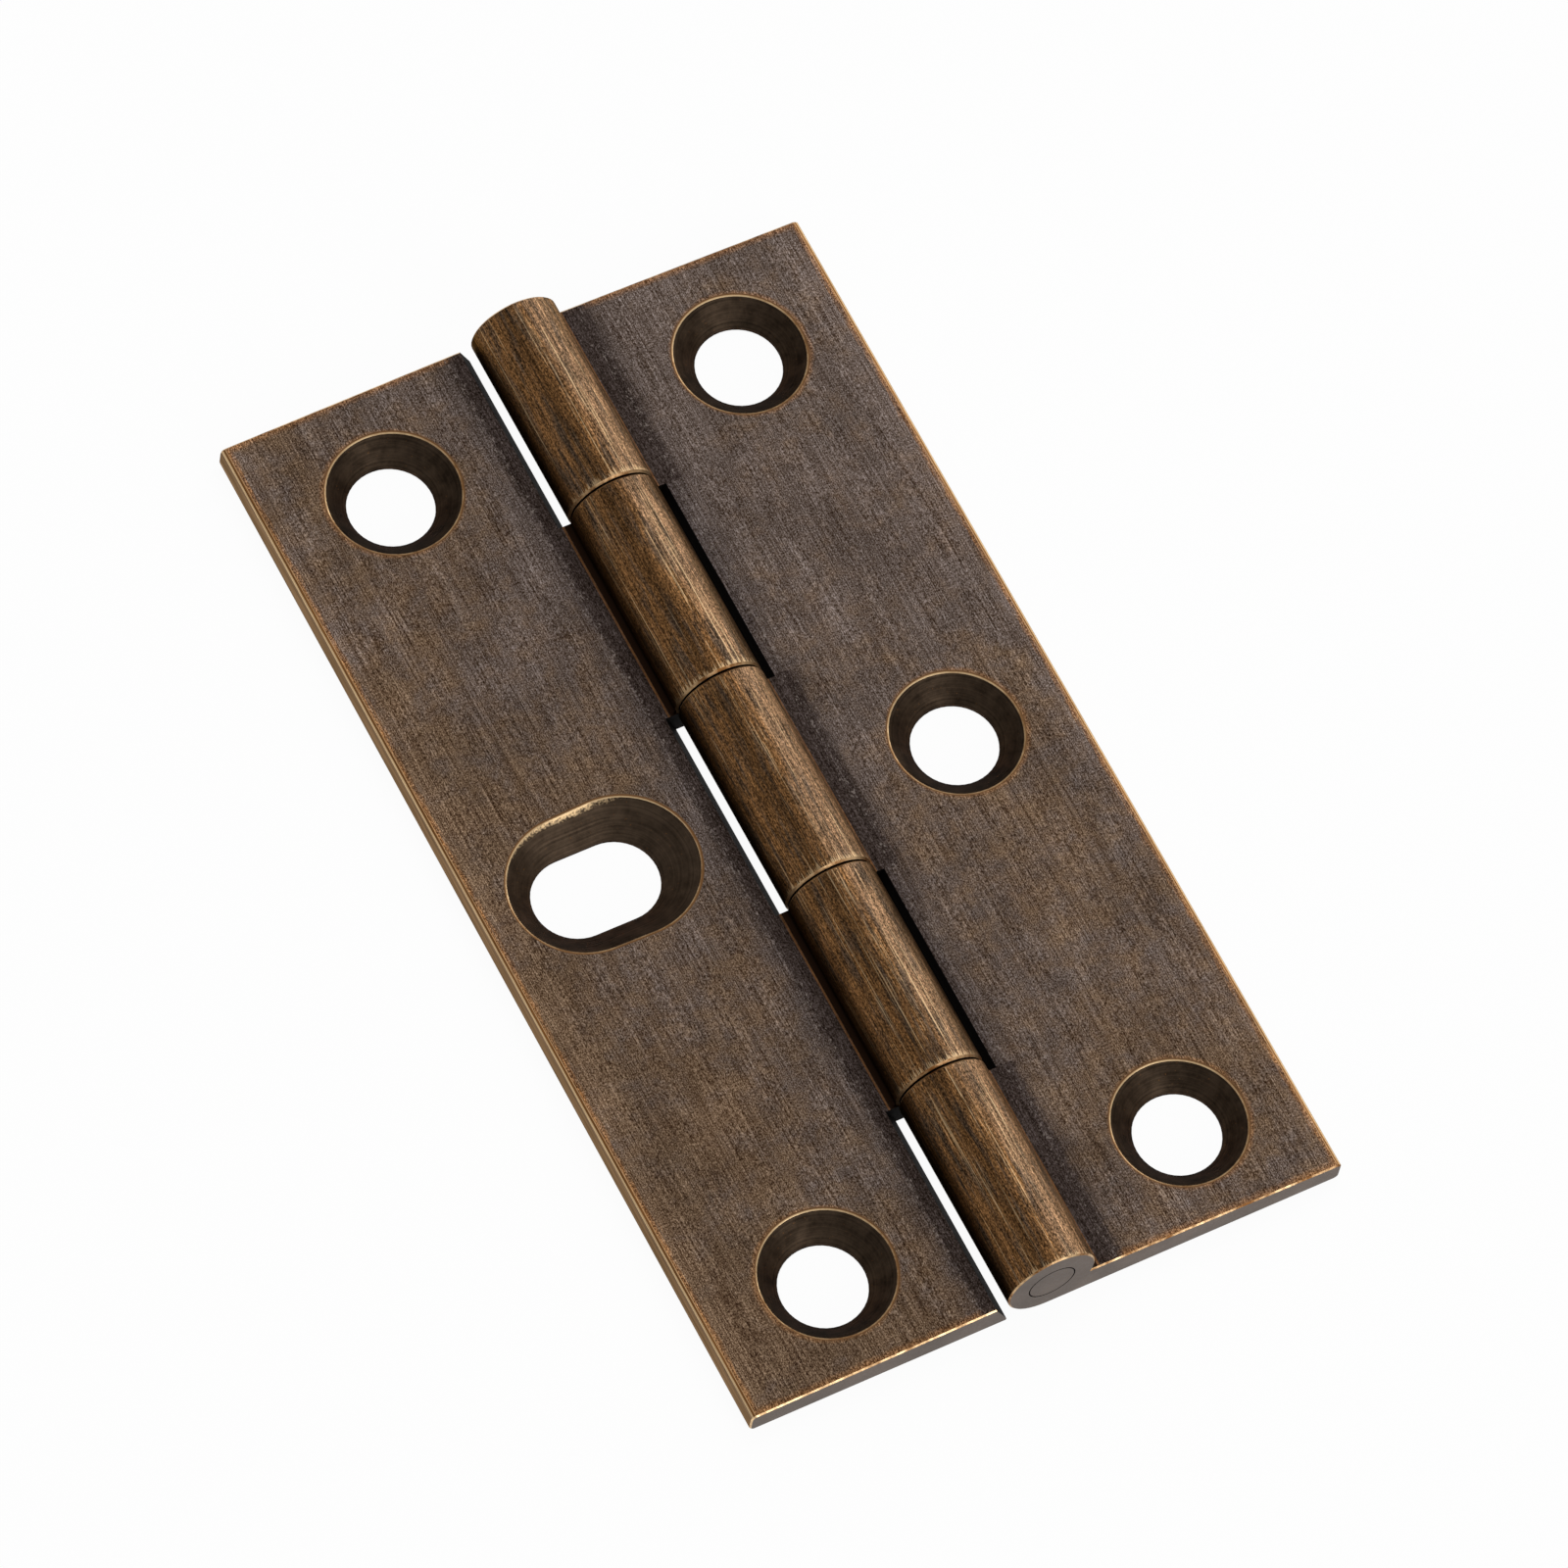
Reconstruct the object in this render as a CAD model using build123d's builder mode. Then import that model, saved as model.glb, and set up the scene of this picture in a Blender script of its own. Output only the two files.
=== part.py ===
"""Solid brass butt hinge, opened flat: two leaves with their knuckles, and the pin that joins them.

The pin runs along Y. The leaves lie on their backs on Z = 0, with the barrel upwards and the origin under its middle.
"""

import math
import os

from build123d import *

# Leaf plates
leaf_length = 64.0
leaf_reach = 17.9  # from the pin's axis to the long outer edge
leaf_root_thickness = 1.97  # at the pin's axis, from where the plate tapers
leaf_edge_thickness = 1.54
long_edge_radius = 0.35
end_edge_break = 0.08

# Barrel and pin
barrel_radius = 2.6
knuckle_pitch = 13.02  # from joint to joint of the three middle knuckles
knuckle_shift = 0.36  # how far the joints stand towards +Y
knuckle_gap = 0.12  # between the ends of neighbouring knuckles
knuckle_end_break = 0.12  # at the joints
root_radius = 0.3  # of the fill in the corner between the barrel and a leaf's face
root_lap = 10  # degrees by which that round runs on into both of them
pin_radius = 1.4
pin_running_clearance = 0.05  # radial, in the knuckles of the leaf that swings
pin_end_break = 0.08

# Cut-outs that clear the other leaf's knuckles
two_knuckle_clearance = 0.64  # from the barrel's side to the upper edge of that leaf's cut-outs
three_knuckle_clearance = 0.86
cutout_bevel_run = 0.91  # how far the bevelled edge runs in under the barrel on its way down
cutout_toe_radius = 0.2

# Screw holes
hole_edge_margin = 7.12  # from the long outer edge to the row of holes, without the shift
hole_end_margin = 6.1  # from a leaf's end to the middle of its end hole, without the shift
row_shift = 0.28  # how far both rows stand towards +X
hole_shift = -0.3  # how far the rows stand towards +Y
hole_radius = 2.47
hole_land = 0.2  # straight wall below the countersink
countersink_margin = 1.33  # from the hole's wall to the countersink's rim, at the row
slot_travel = 2.45  # how far a screw can be set over in the slot
slot_set_out = 0.36  # how far the slot's middle stands out of its row, towards the edge
slot_set_along = 0.24  # and along the leaf
slot_countersink_margin = 1.75
slot_sink_set_in = 0.24  # how far the slot's countersink stands from it, towards the pin
rim_break = 0.1

# Places that follow from the sizes
half_length = leaf_length / 2
axis_height = barrel_radius  # the barrel's underside is level with the backs of the leaves
pin_axis = Axis((0, 0, axis_height), (0, 1, 0))
joint_lines = [knuckle_shift + steps * knuckle_pitch for steps in (1.5, 0.5, -0.5, -1.5)]
knuckle_bounds = [half_length, *joint_lines, -half_length]
three_knuckles = range(0, len(joint_lines) + 1, 2)
two_knuckles = range(1, len(joint_lines) + 1, 2)
hole_offset = leaf_reach - hole_edge_margin
hole_pitch = half_length - hole_end_margin
taper = (leaf_root_thickness - leaf_edge_thickness) / leaf_reach
sink_depth = leaf_root_thickness - hole_offset * taper - hole_land
sink_spread = countersink_margin / sink_depth
sink_angle = 2 * math.degrees(math.atan(sink_spread))
full_sink_depth = leaf_root_thickness - hole_land  # the cutter comes from above the thickest place
sink_radius = hole_radius + full_sink_depth * sink_spread
slot_sink_radius = hole_radius + full_sink_depth * slot_countersink_margin / sink_depth
slot_place = (row_shift - hole_offset - slot_set_out, hole_shift + slot_set_along)
slot_sink_place = (slot_place[0] + slot_sink_set_in, slot_place[1])
top_plane = Plane.XY.offset(leaf_root_thickness)


def knuckle_span(index):
    """Upper and lower Y of a knuckle, with half a gap left at each joint."""
    high = knuckle_bounds[index]
    low = knuckle_bounds[index + 1]
    if index > 0:
        high -= knuckle_gap / 2
    if index < len(joint_lines):
        low += knuckle_gap / 2
    return high, low


def faces_up(face):
    """Tells whether a face is flat and looks upwards, as the plate's tapered face does."""
    return face.geom_type == GeomType.PLANE and face.normal_at().Z > math.cos(math.radians(10))


def plate_section(side):
    """Section of a leaf's tapered plate, from under the pin to its rounded outer edge."""
    with BuildSketch(Plane.XZ) as section:
        with BuildLine():
            Polyline(
                (0, 0),
                (side * leaf_reach, 0),
                (side * leaf_reach, leaf_edge_thickness),
                (0, leaf_root_thickness),
                close=True,
            )
        make_face()
        outer_corners = section.vertices().sort_by(Axis.X, reverse=side > 0)[:2]
        fillet(outer_corners, long_edge_radius)
    return section.sketch


def cutout_section(side, clearance, plane):
    """Section of a cut-out: all that lies inward of its bevelled edge."""
    upper = barrel_radius + clearance
    lower = upper - cutout_bevel_run
    with BuildSketch(plane) as section:
        with BuildLine():
            Polyline(
                (-side * clearance, -clearance),
                (side * lower, -clearance),
                (side * lower, 0),
                (side * upper, leaf_root_thickness - upper * taper),
                (side * upper, leaf_root_thickness + clearance),
                (-side * clearance, leaf_root_thickness + clearance),
                close=True,
            )
        make_face()
    return section.sketch


def root_section(side, plane):
    """Section of the rounded fill in the corner between the barrel and a leaf's face."""
    from_axis = barrel_radius + root_radius
    height = leaf_root_thickness - from_axis * taper + root_radius
    out = math.sqrt(from_axis**2 - (axis_height - height) ** 2)
    sweep = 90 + math.degrees(math.asin((axis_height - height) / from_axis)) + 2 * root_lap
    start = 270 + root_lap - sweep if side > 0 else 270 - root_lap
    with BuildSketch(plane) as section:
        with BuildLine():
            rounding = CenterArc((side * out, height), root_radius, start, sweep)
            corner = (side * (out - 2 * root_radius), height - 2 * root_radius)
            Polyline(rounding @ 1, corner, rounding @ 0)
        make_face()
    return section.sketch


def knuckle_section(index):
    """Half section of a knuckle, from the pin's axis up to its broken end edges."""
    high, low = knuckle_span(index)
    high_break = knuckle_end_break if index > 0 else end_edge_break
    low_break = knuckle_end_break if index < len(joint_lines) else end_edge_break
    with BuildSketch(Plane.YZ) as section:
        with Locations(((high + low) / 2, axis_height + barrel_radius / 2)):
            Rectangle(high - low, barrel_radius)
        chamfer(section.vertices().group_by(Axis.Y)[-1].sort_by(Axis.X)[-1], high_break)
        chamfer(section.vertices().group_by(Axis.Y)[-1].sort_by(Axis.X)[0], low_break)
    return section.sketch


# Right-hand leaf: a knuckle at each end and one in the middle, three round holes
with BuildPart() as three_knuckle_leaf:
    extrude(plate_section(1), amount=half_length, both=True)
    end_edges = three_knuckle_leaf.faces().filter_by(Axis.Y).edges()
    chamfer(end_edges.sort_by(Axis.X)[2:], end_edge_break)

    for index in two_knuckles:
        high, low = knuckle_span(index)
        start = Plane.XZ.offset(-high - knuckle_gap)
        section = cutout_section(1, three_knuckle_clearance, start)
        extrude(section, amount=high - low + 2 * knuckle_gap, mode=Mode.SUBTRACT)
    back_edges = three_knuckle_leaf.edges().filter_by(Axis.Y).group_by(Axis.Z)[0]
    fillet(back_edges.sort_by(Axis.X)[len(three_knuckles):-1], cutout_toe_radius)

    with Locations((row_shift + hole_offset, hole_shift, leaf_root_thickness)):
        with GridLocations(0, hole_pitch, 1, 3):
            CounterSinkHole(hole_radius, sink_radius, counter_sink_angle=sink_angle)
    upper_face = three_knuckle_leaf.faces().filter_by(faces_up).sort_by(SortBy.AREA)[-1]
    chamfer(upper_face.inner_wires().edges(), rim_break)

    for index in three_knuckles:
        revolve(knuckle_section(index), axis=pin_axis)
        high, low = knuckle_span(index)
        start = Plane.XZ.offset(knuckle_end_break - high)
        extrude(root_section(1, start), amount=high - low - 2 * knuckle_end_break)
    with BuildSketch(Plane.XZ):
        with Locations((0, axis_height)):
            Circle(pin_radius)
    extrude(amount=half_length, both=True, mode=Mode.SUBTRACT)

# Left-hand leaf: two knuckles, a round hole at each end and a slot across the middle
with BuildPart() as two_knuckle_leaf:
    extrude(plate_section(-1), amount=half_length, both=True)
    end_edges = two_knuckle_leaf.faces().filter_by(Axis.Y).edges()
    chamfer(end_edges.sort_by(Axis.X)[:-2], end_edge_break)

    for index in three_knuckles:
        high, low = knuckle_span(index)
        start = Plane.XZ.offset(-high - knuckle_gap)
        section = cutout_section(-1, two_knuckle_clearance, start)
        extrude(section, amount=high - low + 2 * knuckle_gap, mode=Mode.SUBTRACT)
    back_edges = two_knuckle_leaf.edges().filter_by(Axis.Y).group_by(Axis.Z)[0]
    fillet(back_edges.sort_by(Axis.X)[1:-len(two_knuckles)], cutout_toe_radius)

    with Locations((row_shift - hole_offset, hole_shift, leaf_root_thickness)):
        with GridLocations(0, 2 * hole_pitch, 1, 2):
            CounterSinkHole(hole_radius, sink_radius, counter_sink_angle=sink_angle)
    with BuildSketch():
        with Locations(slot_place):
            SlotCenterToCenter(slot_travel, 2 * hole_radius)
    extrude(amount=leaf_root_thickness, mode=Mode.SUBTRACT)
    with BuildSketch(Plane.XY.offset(hole_land)):
        with Locations(slot_place):
            SlotCenterToCenter(slot_travel, 2 * hole_radius)
    with BuildSketch(top_plane):
        with Locations(slot_sink_place):
            SlotCenterToCenter(slot_travel, 2 * slot_sink_radius)
    loft(ruled=True, mode=Mode.SUBTRACT)
    upper_face = two_knuckle_leaf.faces().filter_by(faces_up).sort_by(SortBy.AREA)[-1]
    chamfer(upper_face.inner_wires().edges(), rim_break)

    for index in two_knuckles:
        revolve(knuckle_section(index), axis=pin_axis)
        high, low = knuckle_span(index)
        start = Plane.XZ.offset(knuckle_end_break - high)
        extrude(root_section(-1, start), amount=high - low - 2 * knuckle_end_break)
    with BuildSketch(Plane.XZ):
        with Locations((0, axis_height)):
            Circle(pin_radius + pin_running_clearance)
    extrude(amount=half_length, both=True, mode=Mode.SUBTRACT)

# Pin, flush with the ends of the barrel
with BuildPart() as hinge_pin:
    with BuildSketch(Plane.XZ):
        with Locations((0, axis_height)):
            Circle(pin_radius)
    extrude(amount=half_length, both=True)
    chamfer(hinge_pin.edges().filter_by(GeomType.CIRCLE), pin_end_break)

os.makedirs("parts", exist_ok=True)
three_knuckle_leaf.part.label = "three_knuckle_leaf"
export_step(three_knuckle_leaf.part, "parts/three_knuckle_leaf.step")
two_knuckle_leaf.part.label = "two_knuckle_leaf"
export_step(two_knuckle_leaf.part, "parts/two_knuckle_leaf.step")
hinge_pin.part.label = "hinge_pin"
export_step(hinge_pin.part, "parts/hinge_pin.step")
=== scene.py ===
"""Antique brass butt hinge.

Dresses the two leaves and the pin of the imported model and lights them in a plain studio.
"""

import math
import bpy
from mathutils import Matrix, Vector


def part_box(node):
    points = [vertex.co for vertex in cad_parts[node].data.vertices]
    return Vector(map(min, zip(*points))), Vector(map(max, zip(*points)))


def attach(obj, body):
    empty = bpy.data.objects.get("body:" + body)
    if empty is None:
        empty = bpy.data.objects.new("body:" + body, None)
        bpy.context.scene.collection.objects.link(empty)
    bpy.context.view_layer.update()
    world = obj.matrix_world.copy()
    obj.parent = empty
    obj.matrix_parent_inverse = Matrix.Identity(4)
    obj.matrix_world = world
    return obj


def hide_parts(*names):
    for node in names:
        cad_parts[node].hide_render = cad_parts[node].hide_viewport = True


bl_info = {
    "name": "Antique brass butt hinge",
    "version": (1, 0, 0),
    "blender": (4, 5, 0),
    "location": "3D View > Sidebar > Hinge",
    "description": "Finishes the leaves and the pin of a butt hinge in antique brass and sets up its studio",
    "category": "Object",
}

import bpy
from mathutils import Matrix, Vector

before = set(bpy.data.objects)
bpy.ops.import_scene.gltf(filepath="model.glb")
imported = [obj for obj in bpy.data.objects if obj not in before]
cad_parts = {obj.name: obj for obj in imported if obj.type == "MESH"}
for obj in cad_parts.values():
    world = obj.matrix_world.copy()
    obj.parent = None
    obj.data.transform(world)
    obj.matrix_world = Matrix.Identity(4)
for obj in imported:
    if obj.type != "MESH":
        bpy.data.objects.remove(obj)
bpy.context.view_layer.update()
leaf_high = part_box("three_knuckle_leaf")[1]

MM = 1000.0  # millimetres in a metre: finishes and tests of place are written in millimetres
MERGE_DISTANCE = 1e-6
CREASE_ANGLE = math.radians(30)

# Brass as it takes the light
THIN_PATINA = 0.95  # metallic share of brass under a thin patina
BARE_METAL = 1.0
EYE_GAMMA = 2.2  # makes steps that are even to the eye into steps of light

# Parts of a normal by which faces are told apart
SQUARE_ON = 0.9  # looks along a direction
ASLANT = 0.3  # looks along it in part
ENDWISE = 0.5  # looks more along the pin than a bevel does
FLAT = 0.9999  # of the back, which is level
LEVEL = 0.99  # of a face that is level or tapers a little
ROUNDED_OFF = 0.995  # of a long edge, where it has left the face
RIM_SLOPES = (0.85, 0.97)  # of a broken rim, steeper than the face and flatter than the wall

# Lengths by which faces are told apart, in millimetres
ROUND_SLACK = 0.15  # how far a face's middle may stand off the round that it belongs to
BREAK_SLACK = 0.2  # how far a broken edge may stand off the barrel's round
END_DEPTH = 0.2  # what lies this near to an end belongs to it
EDGE_SLACK = 0.01  # how far a face's middle may stand past an edge that it begins at
BEVEL_WIDTH = 1.3  # from the deepest cut-out's upper edge to past every toe
BEVEL_DEPTH = 0.02  # least depth of a bevel below the face
WALL_SLACK = 0.05  # how far a countersink's wall may reach past its rim
RIM_DEPTH = 0.13  # most depth of a broken rim below the face
RIM_WIDTH = 0.3  # how far a broken rim may reach to either side of its line
FRONT_ABOVE = 0.5  # what lies higher than this is on a leaf's front

# Stage, in metres
FLOOR_SIDE = 6.0
FLOOR_DROP = 0.00005  # keeps the floor clear of the leaves' backs
SENSOR_WIDTH = 36  # millimetres


def linear(hex_colour):
    """Linear RGBA of an sRGB hex colour."""
    channels = [int(hex_colour[start:start + 2], 16) / 255 for start in (0, 2, 4)]
    return (*[c / 12.92 if c <= 0.04045 else ((c + 0.055) / 1.055) ** 2.4 for c in channels], 1.0)


def add(tree, kind, inputs, **settings):
    """Adds a node with its settings. An input given as a node or a socket is linked, and any other is set."""
    made = tree.nodes.new(kind)
    for setting, value in settings.items():
        setattr(made, setting, value)
    for key, value in inputs.items():
        if isinstance(value, bpy.types.Node):
            value = next(socket for socket in value.outputs if socket.enabled)
        if isinstance(value, bpy.types.NodeSocket):
            tree.links.new(value, made.inputs[key])
        else:
            made.inputs[key].default_value = value
    return made


class HingeSizes(bpy.types.PropertyGroup):
    """Sizes of the hinge that its finish follows."""

    reach: bpy.props.FloatProperty(
        name="Leaf reach", description="From the pin's axis to a leaf's long outer edge",
        default=leaf_high.x, unit="LENGTH")
    half_length: bpy.props.FloatProperty(
        name="Half length", description="From the middle of the hinge to its end",
        default=leaf_high.y, unit="LENGTH")
    root_thickness: bpy.props.FloatProperty(
        name="Root thickness", description="Thickness of a leaf's plate at the pin's axis",
        default=0.00197, unit="LENGTH")
    edge_thickness: bpy.props.FloatProperty(
        name="Edge thickness", description="Thickness of a leaf's plate at its long outer edge",
        default=0.00154, unit="LENGTH")
    edge_radius: bpy.props.FloatProperty(
        name="Edge radius", description="Rounding of a leaf's long outer edge",
        default=0.00035, unit="LENGTH")
    barrel_radius: bpy.props.FloatProperty(
        name="Barrel radius", description="Outer radius of the knuckles",
        default=leaf_high.z / 2, unit="LENGTH")
    pin_radius: bpy.props.FloatProperty(
        name="Pin radius", description="Radius of the pin",
        default=0.0014, unit="LENGTH")
    knuckle_pitch: bpy.props.FloatProperty(
        name="Knuckle pitch", description="From joint to joint of the knuckles",
        default=0.01302, unit="LENGTH")
    knuckle_shift: bpy.props.FloatProperty(
        name="Knuckle shift", description="How far the joints stand towards the far end",
        default=0.00036, unit="LENGTH")
    cutout_reach: bpy.props.FloatProperty(
        name="Cut-out reach", description="From the pin's axis to the deepest cut-out's upper edge",
        default=0.00346, unit="LENGTH")
    hole_offset: bpy.props.FloatProperty(
        name="Hole offset", description="From the pin's axis to a row of holes",
        default=0.01078, unit="LENGTH")
    row_shift: bpy.props.FloatProperty(
        name="Row shift", description="How far both rows stand towards the three-knuckle leaf",
        default=0.00028, unit="LENGTH")
    hole_pitch: bpy.props.FloatProperty(
        name="Hole pitch", description="From hole to hole along a leaf",
        default=0.0259, unit="LENGTH")
    hole_shift: bpy.props.FloatProperty(
        name="Hole shift", description="How far the rows stand towards the far end",
        default=-0.0003, unit="LENGTH")
    rim_radius: bpy.props.FloatProperty(
        name="Countersink radius", description="Radius of a round countersink's rim",
        default=0.0039, unit="LENGTH")
    slot_rim_radius: bpy.props.FloatProperty(
        name="Slot rim radius", description="Radius of the countersunk slot's ends",
        default=0.00432, unit="LENGTH")
    slot_travel: bpy.props.FloatProperty(
        name="Slot travel", description="From end to end of the slot's middle line",
        default=0.00245, unit="LENGTH")
    slot_set_out: bpy.props.FloatProperty(
        name="Slot set-out", description="How far the slot's countersink stands out of its row, to the edge",
        default=0.00012, unit="LENGTH")
    slot_set_along: bpy.props.FloatProperty(
        name="Slot set-along", description="How far the slot's countersink stands along its row",
        default=0.00024, unit="LENGTH")


class HingeFinish(bpy.types.PropertyGroup):
    """Colours and grain of the antique brass."""

    face_grey: bpy.props.FloatVectorProperty(
        name="Face grey", description="Tarnished ground of the leaf faces",
        default=linear("534740"), size=4, subtype="COLOR", min=0, max=1)
    face_warm: bpy.props.FloatVectorProperty(
        name="Face brown", description="Warmer clouds on the leaf faces",
        default=linear("594635"), size=4, subtype="COLOR", min=0, max=1)
    # Painted shade: cool grey that thins away from the barrel
    root_shade_haze: bpy.props.FloatVectorProperty(
        name="Root haze", description="Cool grey film that thins away from the barrel",
        default=linear("3c3431"), size=4, subtype="COLOR", min=0, max=1)
    # Painted shade: dark beside the barrel, and paler patches in the gaps
    root_shade_dark: bpy.props.FloatVectorProperty(
        name="Root dark", description="Dark film left beside the barrel",
        default=linear("2f2622"), size=4, subtype="COLOR", min=0, max=1)
    barrel_brown: bpy.props.FloatVectorProperty(
        name="Barrel brown", description="Golden brown of the rubbed barrel",
        default=linear("7a5735"), size=4, subtype="COLOR", min=0, max=1)
    barrel_grey: bpy.props.FloatVectorProperty(
        name="Barrel grey", description="Tarnish left in streaks on the barrel",
        default=linear("4b4138"), size=4, subtype="COLOR", min=0, max=1)
    # Painted highlight: a lighter rose on the barrel's upper right
    barrel_rose_highlight: bpy.props.FloatVectorProperty(
        name="Barrel rose", description="Pinkish brown where the barrel is rubbed most",
        default=linear("84674d"), size=4, subtype="COLOR", min=0, max=1)
    # Bare brass of rubbed edges, rims and lines, also used for painted highlights on the long edges and rims
    bare_gold_and_highlight: bpy.props.FloatVectorProperty(
        name="Bare gold", description="Brass rubbed bare at edges and on high lines",
        default=linear("f0cfa0"), size=4, subtype="COLOR", min=0, max=1)
    frost: bpy.props.FloatVectorProperty(
        name="Frost", description="Fine pale specks on the film beside the barrel",
        default=linear("7a706a"), size=4, subtype="COLOR", min=0, max=1)
    # Thin orange tarnish, also used for the painted reflection line at the barrel's foot
    edge_orange_and_reflection: bpy.props.FloatVectorProperty(
        name="Edge orange", description="Thin tarnish next to bare brass",
        default=linear("7d542e"), size=4, subtype="COLOR", min=0, max=1)
    # Painted shade: near black in the corner at the barrel's foot
    foot_shade_brown: bpy.props.FloatVectorProperty(
        name="Foot brown", description="Near-black brown in the corner at the barrel's foot",
        default=linear("1e1006"), size=4, subtype="COLOR", min=0, max=1)
    side_olive: bpy.props.FloatVectorProperty(
        name="Side olive", description="Handled long sides of the leaves",
        default=linear("7e6751"), size=4, subtype="COLOR", min=0, max=1)
    end_taupe: bpy.props.FloatVectorProperty(
        name="End taupe", description="Smooth sawn ends of the leaves and the barrel",
        default=linear("60534a"), size=4, subtype="COLOR", min=0, max=1)
    sink_brown: bpy.props.FloatVectorProperty(
        name="Countersink brown", description="Dark walls of the countersinks",
        default=linear("3d3228"), size=4, subtype="COLOR", min=0, max=1)
    # Painted shade: near black on the faces in the gaps round the knuckles
    recess_shade_black: bpy.props.FloatVectorProperty(
        name="Recess black", description="Soot-dark faces in the gaps round the knuckles",
        default=linear("0d0a08"), size=4, subtype="COLOR", min=0, max=1)
    grazing: bpy.props.FloatVectorProperty(
        name="Grazing tint", description="Tint that the tarnish keeps where the metal is seen at a low angle",
        default=linear("d0bca4"), size=4, subtype="COLOR", min=0, max=1)
    # Lines and grit on real brass can be finer still: these are as coarse as they need to be to show
    line_width: bpy.props.FloatProperty(
        name="Brush line width", description="Width of a brushed line",
        default=0.00005, unit="LENGTH")
    line_length: bpy.props.FloatProperty(
        name="Brush line length", description="Length of a brushed line",
        default=0.004, unit="LENGTH")
    grit: bpy.props.FloatProperty(
        name="Grit size", description="Width of the grit between the lines",
        default=0.00006, unit="LENGTH")
    cloud: bpy.props.FloatProperty(
        name="Cloud size", description="Width of a warm cloud on the leaves",
        default=0.009, unit="LENGTH")


class HingeStudio(bpy.types.PropertyGroup):
    """Camera, floor and room light."""

    azimuth: bpy.props.FloatProperty(
        name="Azimuth", description="How far the camera stands round to the right of the near end",
        default=math.radians(-38.0762), subtype="ANGLE")
    elevation: bpy.props.FloatProperty(
        name="Elevation", description="How far the camera looks down",
        default=math.radians(62.0256), subtype="ANGLE")
    roll: bpy.props.FloatProperty(
        name="Roll", description="How far the camera leans",
        default=math.radians(12.1638), subtype="ANGLE")
    distance: bpy.props.FloatProperty(
        name="Distance", description="From the camera to the point it looks at",
        default=0.6431436, unit="LENGTH")
    target: bpy.props.FloatVectorProperty(
        name="Target", description="Point that the camera looks at",
        default=(0.0014736, 0.0015103, 0.0), subtype="TRANSLATION")
    lens: bpy.props.FloatProperty(name="Lens", description="Focal length in millimetres", default=271.336)
    floor_white: bpy.props.FloatVectorProperty(
        name="Floor white", description="Pale paper under the hinge",
        default=linear("f4f4f4"), size=4, subtype="COLOR", min=0, max=1)
    floor_glow: bpy.props.FloatProperty(
        name="Floor white-out", description="Share of plain white in the floor as it is seen",
        default=0.95, subtype="FACTOR", min=0, max=1)
    room_level: bpy.props.FloatProperty(
        name="Room level", description="Strength of the even light from all round", default=0.5)


def new_material(name):
    """An empty material and its node tree."""
    material = bpy.data.materials.new(name)
    material.use_nodes = True
    material.node_tree.nodes.clear()
    return material, material.node_tree


def new_finish(name):
    """An empty material, its node tree and the place on the piece in millimetres."""
    material, tree = new_material(name)
    coordinates = add(tree, "ShaderNodeTexCoord", {})
    on_piece = coordinates.outputs["Object"]
    place = add(tree, "ShaderNodeVectorMath", {0: on_piece, "Scale": MM}, operation="SCALE")
    return material, tree, place


def close_finish(tree, colour, roughness, relief, depth, sockets):
    """Joins a finish's colour, roughness and relief to its metal, whose other sockets are given by name."""
    bump = add(tree, "ShaderNodeBump", {"Height": relief, "Distance": depth / MM})
    metal = add(tree, "ShaderNodeBsdfPrincipled", {
        "Base Color": colour, "Roughness": roughness, "Normal": bump, **sockets})
    add(tree, "ShaderNodeOutputMaterial", {"Surface": metal})


def brushed_lines(tree, vector, width, length, detail):
    """Noise drawn out along Y into lines of a real width and length in millimetres."""
    scale = (1 / width, 1 / length, 1 / width)
    stretched = add(tree, "ShaderNodeMapping", {"Vector": vector, "Scale": scale})
    return add(tree, "ShaderNodeTexNoise", {
        "Vector": stretched, "Scale": 1.0, "Detail": detail, "Roughness": 0.6})


def weighted_sum(tree, shares):
    """Sum of patterns, each times its weight."""
    total = 0.0
    for pattern, weight in shares:
        total = add(tree, "ShaderNodeMath", {0: pattern, 1: weight, 2: total}, operation="MULTIPLY_ADD")
    return total


def knuckle_number(tree, past_middle, sizes):
    """Number of the knuckle at a place along the pin, both counted from the middle knuckle."""
    pitch = sizes.knuckle_pitch * MM
    counted = add(tree, "ShaderNodeMath", {0: past_middle, 1: 1 / pitch, 2: 0.5}, operation="MULTIPLY_ADD")
    return add(tree, "ShaderNodeMath", {0: counted}, operation="FLOOR")


def along_row(tree, axes, sizes, slotted):
    """Place along a leaf, from the middle of the nearest countersink."""
    middle = (sizes.hole_shift + slotted * sizes.slot_set_along) * MM
    half_pitch = sizes.hole_pitch * MM / 2
    row_place = add(tree, "ShaderNodeMath", {0: axes.outputs["Y"], 1: middle}, operation="SUBTRACT")
    return add(tree, "ShaderNodeMath", {0: row_place, 1: half_pitch, 2: -half_pitch}, operation="WRAP")


def from_countersink(tree, axes, row_place, sizes, slotted):
    """Distance from the middle of the nearest countersink, or from the slot's middle line."""
    shift = sizes.row_shift * MM
    middle = (sizes.hole_offset + slotted * sizes.slot_set_out) * MM
    half_travel = slotted * sizes.slot_travel * MM / 2
    beside = add(tree, "ShaderNodeMath", {0: axes.outputs["X"], 1: shift}, operation="SUBTRACT")
    beside = add(tree, "ShaderNodeMath", {0: beside}, operation="ABSOLUTE")
    beside = add(tree, "ShaderNodeMath", {0: beside, 1: middle}, operation="SUBTRACT")
    beside = add(tree, "ShaderNodeMath", {0: beside}, operation="ABSOLUTE")
    beside = add(tree, "ShaderNodeMath", {0: beside, 1: half_travel}, operation="SUBTRACT")
    beside = add(tree, "ShaderNodeMath", {0: beside, 1: 0.0}, operation="MAXIMUM")
    flat = add(tree, "ShaderNodeCombineXYZ", {0: beside, 1: row_place})
    return add(tree, "ShaderNodeVectorMath", {0: flat}, operation="LENGTH").outputs["Value"]


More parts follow.
